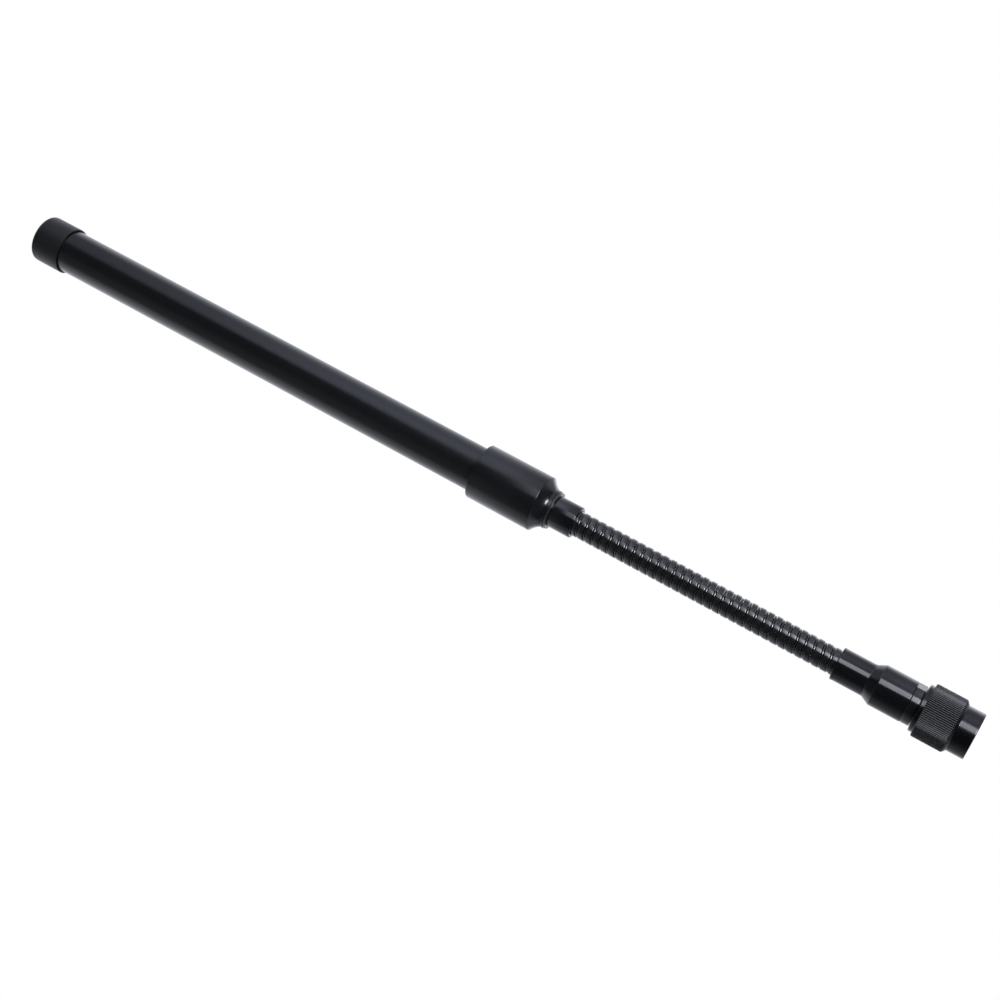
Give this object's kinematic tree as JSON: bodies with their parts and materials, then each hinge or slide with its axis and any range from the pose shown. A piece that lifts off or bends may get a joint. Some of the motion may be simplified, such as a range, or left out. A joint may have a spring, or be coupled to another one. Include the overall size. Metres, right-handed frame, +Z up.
{
  "type": "gooseneck antenna",
  "caption": "Straight black radio antenna: a capped tube on a collar and a bendable coiled neck, with a knurled screw-on coaxial plug at its foot.",
  "frame": {"origin": "The middle of the coupling nut's front rim, where the socket enters the plug", "axes": "+Z runs up the antenna from the plug to the tip; +X points away from the wrench flat by 21 degrees"},
  "size_m": [0.0158, 0.0158, 0.2984],
  "materials": {
    "nut_metal": "glossy black plated",
    "connector_metal": "glossy black plated",
    "spring_brass": "bare",
    "contact_brass": "bright plated",
    "seal_rubber": "soft black",
    "white_insulator": "white, waxy",
    "gold_pin": "gold plated",
    "copper": "bare copper",
    "cable_insulation": "clear white",
    "braid_metal": "woven",
    "cable_jacket": "smooth black",
    "ferrule_metal": "plated",
    "sleeve_black": "satin black",
    "round_wire_steel": "black oxide, glossy",
    "flat_wire_steel": "black oxide, glossy",
    "bushing_black": "glossy black",
    "plain_brass": "bare",
    "collar_black": "satin gloss black",
    "tube_black": "satin gloss black",
    "cap_rubber": "matte black",
    "spacer_plastic": "plain"
  },
  "bodies": {
    "connector": {"connector_body": "connector_metal", "retaining_ring": "spring_brass", "outer_contact": "contact_brass", "interface_gasket": "seal_rubber", "insulator": "white_insulator", "center_pin": "gold_pin", "crimp_ferrule": "ferrule_metal", "connector_sleeve": "sleeve_black"},
    "coupling": {"coupling_nut": "nut_metal"},
    "lower_neck": {"gooseneck_round_wire": "round_wire_steel", "cable_conductor": "copper", "cable_dielectric": "cable_insulation", "cable_braid": "braid_metal", "cable_jacket": "cable_jacket"},
    "upper_neck": {"gooseneck_flat_wire": "flat_wire_steel"},
    "head": {"neck_bushing": "bushing_black", "neck_seal_ring": "seal_rubber", "bushing_lock_nut": "plain_brass", "base_collar": "collar_black", "radome_tube": "tube_black", "tip_cap": "cap_rubber", "choke_sleeve": "plain_brass", "feed_block": "white_insulator", "radiator_rod": "plain_brass", "lower_spacer": "spacer_plastic", "upper_spacer": "spacer_plastic"}
  },
  "joints": [
    {"name": "coupling_spin", "type": "hinge", "parent": "connector", "child": "coupling", "pos_m": [0, 0, 0.0095], "axis": [0, 0, 1], "continuous": true},
    {"name": "neck_bend_low", "type": "hinge", "parent": "connector", "child": "lower_neck", "pos_m": [0, 0, 0.05099], "axis": [0, 1, 0], "range_deg": [-45, 45], "deforming": ["gooseneck_round_wire", "gooseneck_flat_wire", "cable_conductor", "cable_dielectric", "cable_braid", "cable_jacket"]},
    {"name": "neck_bend_side", "type": "hinge", "parent": "lower_neck", "child": "upper_neck", "pos_m": [0, 0, 0.07678], "axis": [1, 0, 0], "range_deg": [-45, 45], "deforming": ["gooseneck_round_wire", "gooseneck_flat_wire", "cable_conductor", "cable_dielectric", "cable_braid", "cable_jacket"]},
    {"name": "neck_bend_high", "type": "hinge", "parent": "upper_neck", "child": "head", "pos_m": [0, 0, 0.10256], "axis": [0, 1, 0], "range_deg": [-45, 45], "deforming": ["gooseneck_round_wire", "gooseneck_flat_wire", "cable_conductor", "cable_dielectric", "cable_braid", "cable_jacket"]}
  ],
  "couplings": [
    {"joint": "neck_bend_high", "follows": "neck_bend_low", "ratio": 1}
  ]
}
